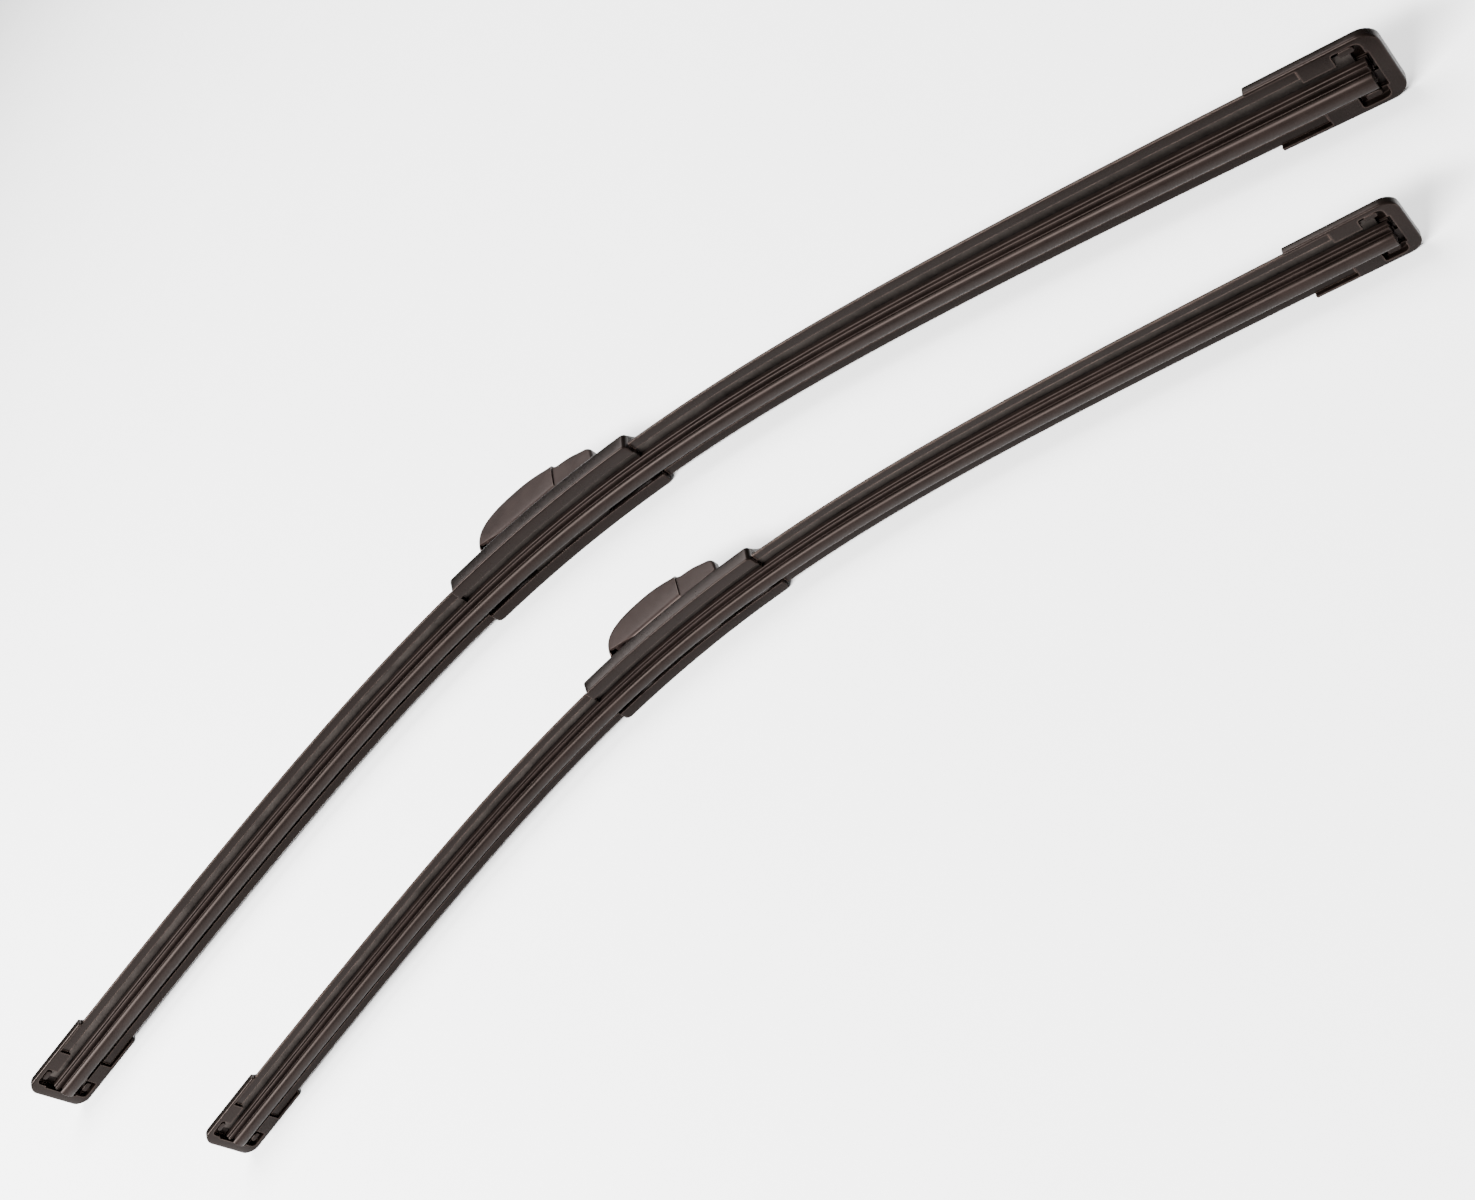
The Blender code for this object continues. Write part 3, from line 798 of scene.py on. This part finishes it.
def make_shroud(blade):
    name = blade["name"] + "_connector_shroud"
    outline = ridge_outline(HALF_WIDTH, -0.9, 4.6, 12, SHROUD_INSIDE, edge=MOULDED_EDGE)
    steps = end_steps(-SHROUD_END, SHROUD_END, MOULDED_RIM, SHROUD_CORNER, 2.5)
    narrow = round_plan(HALF_WIDTH, SHROUD_KEEP, SHROUD_CORNER, -SHROUD_END, SHROUD_END)
    shroud = extrude_along(blade, name + "_fine", outline, steps, narrow)
    carve(shroud, "DIFFERENCE", block("well", *WELL))
    body = blade["name"] + "_beam"
    finish_piece(shroud, blade["matrix"], SHELL, body, "shell_plastic", name)
    print(shroud.name, "has", len(shroud.data.polygons), "faces")


for blade in blades.values():
    make_shroud(blade)

# %% [markdown]
# ## The end caps
#
# A cap closes each end of the blade. Inside its mouth it takes the spoiler, then two claws hook
# under the steel strips, and beyond them a recess shows the ends of the rubber. All four caps are
# the same moulding, drawn once from its mouth outwards, and the left ones are its mirror image. A
# cap is too short to follow the beam's curve, so it is drawn straight and stands at the slope of
# its middle.

# %% Find the place of a cap
def cap_matrix(blade, side):
    """Takes a cap's drawing to the left (-1) or the right (1) end of a blade."""
    middle = blade["length"] / 2 - CAP_LENGTH / 2
    centre = beam_point(blade, side * middle).to_3d()
    turn = Matrix.Rotation(-side * slope_at(blade, middle), 4, "Z")
    outward = Matrix.Diagonal((side, 1, 1, 1))
    back = Matrix.Translation((-CAP_LENGTH / 2, 0, 0))
    return blade["matrix"] @ Matrix.Translation(centre) @ turn @ outward @ back


def in_cap(station, across, out):
    return Vector((station, out, across))


for blade in blades.values():
    mouth = cap_matrix(blade, 1).translation
    print(blade["name"], "blade's right cap begins at", [round(value, 4) for value in mouth])

# %% [markdown]
# The ridge runs down to the cap's shoulders between its claws and its end. Cutting it with a
# slanted block leaves a flat facet. Lowering each ring a little more than the one before gives a
# soft curve.

# %% Shape the cap's ridge and its flat tools
CLAW = (12.4, 20)
CAP_SHOULDER = 2.2
SWAP_OUT_AND_ACROSS = Matrix(((1, 0, 0, 0), (0, 0, 1, 0), (0, 1, 0, 0), (0, 0, 0, 1)))


def run_down(point, station):
    """Lets the ridge run down to the shoulders between the claws and the end."""
    if point.y <= CAP_SHOULDER or station <= CLAW[0]:
        return point
    part = (station - CLAW[0]) / (CAP_LENGTH - CLAW[0])
    return Vector((point.x, CAP_SHOULDER + (point.y - CAP_SHOULDER) * (1 - part ** 1.1)))


def flat_tool(name, corners, low, high, rim=0):
    """A plate whose outline of (station, across) lies in the cap's plan, between two heights."""
    tool = plate(name, rounded(corners), low, high, rim)
    tool.data.transform(SWAP_OUT_AND_ACROSS)
    tool.data.flip_normals()
    return tool


print("half way down, the ridge stands at", round(run_down(Vector((0, 11.9)), 21.5).y, 1), "mm")

# %% [markdown]
# The rooms inside the cap are cut in one go: one for the spoiler, three stepped ones for the
# strips, the lip and the rubber's head, and the open recess. Two small stops are then set into
# the recess. They could be part of the outline, but as pieces of their own they keep round
# corners.

# %% Model one cap
CAP_POCKET_END = 27.2
CAP_ROOMS = {"rails": (7.3, 0.95, 2.5), "lip": (5.6, -2, 1.2), "head": (2.8, 2.3, 3.2)}
CAP_CORNER = 4.2
RECESS = [(CLAW[1], -9.1, 0.8), (26.6, -9.1, 1.8), (26.6, 9.1, 1.8), (CLAW[1], 9.1, 0.8)]
STOP_START, STOP_END = 21.3, 24.9


def model_cap():
    outline = ridge_outline(HALF_WIDTH, -0.4, CAP_SHOULDER, 11.9, edge=MOULDED_EDGE)
    steps = end_steps(0, CAP_LENGTH, MOULDED_RIM, CAP_CORNER, 1.5)
    round_end = round_plan(HALF_WIDTH, 0, CAP_CORNER, -CAP_LENGTH, CAP_LENGTH)
    cap = extrude("cap", outline, steps, in_cap, round_end, run_down)
    room = ridge_outline(9.6, -2, 1.75, 10.9, edge=0.2)
    tools = [extrude("room", room, [(-1, 0), (CLAW[0], 0)], in_cap)]
    for label, (half, low, high) in CAP_ROOMS.items():
        tools.append(block(label, (CLAW[0] - 1, low, -half), (CAP_POCKET_END, high, half)))
    carve(cap, "DIFFERENCE", *tools, flat_tool("recess", RECESS, -2, 1.6))
    stops = []
    for low, high in ((6.5, 8.2), (-8.2, -6.5)):
        corners = [(STOP_START, low, 0.6), (STOP_END, low, 0.8), (STOP_END, high, 0.8),
                   (STOP_START, high, 0.6)]
        stops.append(flat_tool("stop", corners, 0.35, 2.1, 0.3))
    carve(cap, "UNION", *stops)
    print("a cap has", len(cap.data.polygons), "faces")
    return cap


cap = model_cap()

# %% [markdown]
# A linked copy would share one mesh, but each cap needs a mesh of its own here, because the short
# blade is smaller and the left caps are mirrored.

# %% Set the four caps in place
for blade in blades.values():
    for label, side in (("left", -1), ("right", 1)):
        name = f"{blade['name']}_end_cap_{label}"
        fine_cap = bpy.data.objects.new(name + "_fine", cap.data.copy())
        bpy.context.scene.collection.objects.link(fine_cap)
        body = blade["name"] + "_beam"
        finish_piece(fine_cap, cap_matrix(blade, side), SHELL, body, "shell_plastic", name)
        print(fine_cap.name, "is in place")
bpy.data.objects.remove(cap)

# %% [markdown]
# ## The adapter
#
# The adapter takes the hook of the wiper arm round its barrel and rocks on the pivot pin. Only
# its stepped tail shows while the cover is closed, so the tail gets the soft rims. The cheeks,
# the barrel and the seat for the arm lie inside, and they show when the cover opens. It could be
# one outline, but the soft tail is wider than the cheeks, so plates and rods are joined instead.
# The tail's first face meets the cover at a seam, and it stays flat there.

# %% Make the adapter
TAIL_START = 7.26
TAIL_FOOT = 7.6
TAIL_HALF = 7.6
TAIL = [(TAIL_START, 18.45, 0), (9, 17.4, 0.8), (13.5, 16.8, 1.5), (16, 16.1, 1), (18.6, 15.1, 1),
        (21.8, 14, 1.2), (23.2, 12.2, 0.8), (23.4, TAIL_FOOT, 0.5), (TAIL_START, TAIL_FOOT, 0)]
CHEEKS = [(-14, 8, 1), (-23.5, 9.8, 1), (-23.5, 13.2, 1), (-19, 14.6, 1.5), (8, 14.6, 0),
          (8, TAIL_FOOT, 0)]
SEAT = [(8.5, 11.6, 0.5), (20, 11.6, 0.5), (20, 13.6, 0.6), (8.5, 13.6, 0.3)]
ARM_SLOT = 4.65
CHEEK = 5.65
BARREL_RADIUS = 3.6
LUG_RADIUS = 2.2
PIVOT_RADIUS = 2
HINGE_RADIUS = 1
RUNNING_GAP = 0.3


def make_adapter(blade):
    name = blade["name"] + "_hook_adapter"
    adapter = plate(name + "_fine", rounded(TAIL), -TAIL_HALF, TAIL_HALF, rim=1.1,
                    floor=TAIL_FOOT, seam=TAIL_START)
    inside = (ARM_SLOT + CHEEK) / 2
    carve(adapter, "UNION", plate("cheeks", rounded(CHEEKS), -CHEEK, CHEEK))
    carve(adapter, "DIFFERENCE", block("slot", (-30, 0, -ARM_SLOT), (30, 25, ARM_SLOT)))
    barrel = rod("barrel", PIVOT, BARREL_RADIUS, -inside, inside)
    lug = rod("lug", COVER_HINGE, LUG_RADIUS, -inside, inside)
    carve(adapter, "UNION", barrel, lug, plate("seat", rounded(SEAT), -inside, inside))
    bore = rod("bore", PIVOT, PIVOT_RADIUS + RUNNING_GAP, -9, 9)
    hinge = rod("hinge", COVER_HINGE, HINGE_RADIUS + RUNNING_GAP, -9, 9)
    carve(adapter, "DIFFERENCE", bore, hinge)
    body = blade["name"] + "_adapter"
    # The adapter's lighter shell colour is painted light.
    finish_piece(adapter, blade["matrix"], SHELL_PAINTED_LIGHTER, body, "shell_plastic", name)
    print(adapter.name, "has", len(adapter.data.polygons), "faces")


for blade in blades.values():
    make_adapter(blade)

# %% [markdown]
# ## The cover
#
# The cover's dome is what the eye meets first. Its side outline is a superellipse, which is
# rounder than a box and fuller than an ellipse, and then a crest that falls gently to the tail. A
# few Bezier handles would come close, but a formula can also draw the inside, one skin smaller.

# %% Draw the cover's side
COVER_END = 7.2
COVER_FOOT = 7.9
DOME_CENTRE = Vector((-6.3, 10))
DOME_REACH = Vector((21, 11.3))
DOME_POWER = 2.8
DOME_STEPS = 30
CREST_STEPS = 8
CREST_FALL = 2.4


def cover_outline(skin=0, end=COVER_END):
    """The dome from its foot to the start of the crest, and the crest down to the cover's end."""
    points = []
    for step in range(DOME_STEPS + 1):
        turn = math.pi / 2 * (1 - step / DOME_STEPS)
        along = (DOME_REACH.x - skin) * math.sin(turn) ** (2 / DOME_POWER)
        out = (DOME_REACH.y - skin) * max(math.cos(turn), 0) ** (2 / DOME_POWER)
        points.append(DOME_CENTRE + Vector((-along, out)))
    top = DOME_CENTRE.y + DOME_REACH.y - skin
    for step in range(1, CREST_STEPS + 1):
        x = DOME_CENTRE.x + (end - DOME_CENTRE.x) * step / CREST_STEPS
        fall = CREST_FALL * (max(x - DOME_CENTRE.x, 0) / (COVER_END - DOME_CENTRE.x)) ** 1.7
        points.append(Vector((x, top - fall)))
    return points


print("the cover's crest is", DOME_CENTRE.y + DOME_REACH.y, "mm above the beam")

# %% [markdown]
# The cover is a hollow shell with wide soft rims. A Solidify modifier would give it the skin too,
# but it would also close the end towards the tail. So the room is cut out, and a wedge under the
# hinge side leaves space to swing. Two bosses inside carry the hinge pin.

# %% Make the cover
COVER_HALF = 8.2
ROOM_HALF = 7.3
SKIN = 1
BOSS_FAR = 7.6


def make_cover(blade):
    name = blade["name"] + "_adapter_cover"
    left = DOME_CENTRE.x - DOME_REACH.x
    feet = Vector((left + 0.3, COVER_FOOT)), Vector((COVER_END, COVER_FOOT))
    outline = [feet[0], *cover_outline(), feet[1]]
    cover = plate(name + "_fine", outline, -COVER_HALF, COVER_HALF, rim=1.9, floor=COVER_FOOT,
                  seam=COVER_END)
    hollow = cover_outline(SKIN, 12) + [Vector((12, 4)), Vector((left + 1.4, 4))]
    corners = (-13, COVER_FOOT), (left + 1.3, 10), (left + 1.3, 4), (-13, 4)
    wedge = plate("wedge", [Vector(corner) for corner in corners], -9, 9)
    carve(cover, "DIFFERENCE", plate("room", hollow, -ROOM_HALF, ROOM_HALF), wedge)
    near = CHEEK + RUNNING_GAP
    bosses = [rod("boss", COVER_HINGE, LUG_RADIUS, low, high)
              for low, high in ((near, BOSS_FAR), (-BOSS_FAR, -near))]
    carve(cover, "UNION", *bosses)
    carve(cover, "DIFFERENCE", rod("bore", COVER_HINGE, HINGE_RADIUS + RUNNING_GAP, -7.2, 7.2))
    body = blade["name"] + "_cover"
    # The cover's lighter shell colour is painted light.
    finish_piece(cover, blade["matrix"], SHELL_PAINTED_LIGHTER, body, "shell_plastic", name)
    print(cover.name, "has", len(cover.data.polygons), "faces")


for blade in blades.values():
    make_cover(blade)

# %% [markdown]
# ## The steel inside
#
# The strips, the cradle and the pins keep the working model's own solids, because their shapes
# are right. They could be modelled again like the rest, but they are plain and mostly hidden.
# They get a steel finish, and modifiers that round their edges without touching the mesh.

# %% Finish the steel
STEEL_EDGE = 0.00012


def soften(node, width):
    """Welds the node's faces together while it is shown, and rounds its edges."""
    weld = node.modifiers.new("weld", "WELD")
    weld.merge_threshold = 0.000005
    bevel = node.modifiers.new("round edges", "BEVEL")
    bevel.width = width
    bevel.segments = 2
    bevel.limit_method = "ANGLE"
    bevel.angle_limit = math.radians(40)


for name, node in frame["nodes"].items():
    steel = PIN_STEEL if name.endswith("_pin") else STRIP_STEEL
    if "rail" in name or "cradle" in name or name.endswith("_pin"):
        node.data.materials.clear()
        node.data.materials.append(steel)
        soften(node, STEEL_EDGE)
        print(name, "is", steel.name)

# %% [markdown]
# ## Table, light and camera
#
# The blades lie on a plain table of white paper. A flat white would do, but real paper has a
# slight mottle, and it is quite dull, so it shows soft contact shadows and no reflections.

# %% The table
bpy.ops.mesh.primitive_plane_add(size=8, location=(0, 0, 0))
table = bpy.context.object
table.name = "table"
paper = bpy.data.materials.new("white table")
paper.use_nodes = True
tree = paper.node_tree
spot = add_node(tree, "TexCoord").outputs["Object"]
fibres = add_node(tree, "TexNoise", Vector=spot, Scale=30.0, Detail=3.0).outputs["Fac"]
shade = blend_colour(tree, fibres, (0.90, 0.90, 0.90, 1), (0.93, 0.93, 0.93, 1))
tree.links.new(shade, tree.nodes["Principled BSDF"].inputs["Base Color"])
tree.nodes["Principled BSDF"].inputs["Roughness"].default_value = 0.9
tree.nodes["Principled BSDF"].inputs["Specular IOR Level"].default_value = 0.1
table.data.materials.append(paper)
table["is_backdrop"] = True
print("the table is", round(table.dimensions.x), "m wide")

# %% [markdown]
# Black plastic shows its shape only in what it reflects. A dim white room fills the shadows. A
# large lamp behind the blades is mirrored in the flanks that face up, and gives them their
# gradient. A long narrow lamp in front draws a thin bright line along each rounded edge. One big
# lamp overhead would be simpler, but it lights all faces alike and the blades turn flat grey.

# %% The light
ROOM_LIGHT = 0.3
world = bpy.data.worlds.new("soft room")
bpy.context.scene.world = world
world.use_nodes = True
world.node_tree.nodes["Background"].inputs["Color"].default_value = (1, 1, 1, 1)
world.node_tree.nodes["Background"].inputs["Strength"].default_value = ROOM_LIGHT


def add_lamp(name, spot, target, width, height, power):
    """A rectangular lamp at a spot, turned towards a target. Sizes are in metres."""
    lamp = bpy.data.lights.new(name, "AREA")
    lamp.shape = "RECTANGLE"
    lamp.size = width
    lamp.size_y = height
    lamp.energy = power
    stand = bpy.data.objects.new(name, lamp)
    bpy.context.scene.collection.objects.link(stand)
    stand.location = spot
    aim = Vector(target) - Vector(spot)
    stand.rotation_euler = aim.to_track_quat("-Z", "Y").to_euler()
    print(name, "is", round(aim.length, 2), "m away")


BETWEEN_BLADES = (-0.05, -0.03, 0)
add_lamp("rear lamp", (-0.3, 0.75, 1.45), BETWEEN_BLADES, 1.2, 1.1, 75)
add_lamp("front strip", (-0.7, -0.8, 0.9), BETWEEN_BLADES, 1.1, 0.22, 110)

# %% [markdown]
# The camera looks at the blades from in front and above, and leans well over to one side, so that
# they cross the frame from corner to corner. It could be aimed with a Track To constraint, but
# that keeps the horizon level. Its place and its own directions are given instead, to the right
# and backwards, and the third one follows from them.

# %% The camera
CAMERA_PLACE = (0.22533, -0.37802, 0.27419)
camera = bpy.data.cameras.new("camera")
camera.sensor_width = 36
camera.lens = 40.65
camera.clip_start = 0.01
viewer = bpy.data.objects.new("camera", camera)
bpy.context.scene.collection.objects.link(viewer)
right = Vector((0.73196, -0.16860, -0.66016)).normalized()
back = Vector((0.38686, -0.69474, 0.60637)).normalized()
turned = Matrix((right, back.cross(right), back)).transposed().to_4x4()
viewer.matrix_world = Matrix.Translation(CAMERA_PLACE) @ turned
bpy.context.scene.camera = viewer
print("the camera looks down by", round(math.degrees(math.asin(back.z)), 1), "degrees")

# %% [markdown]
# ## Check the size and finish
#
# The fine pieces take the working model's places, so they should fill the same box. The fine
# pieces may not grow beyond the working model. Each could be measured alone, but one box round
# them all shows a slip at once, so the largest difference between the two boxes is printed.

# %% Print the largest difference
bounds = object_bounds()
differences = [abs(a - b) for one, other in zip(cad_bounds, bounds) for a, b in zip(one, other)]
print("largest difference:", round(max(differences) / MM, 2), "mm")
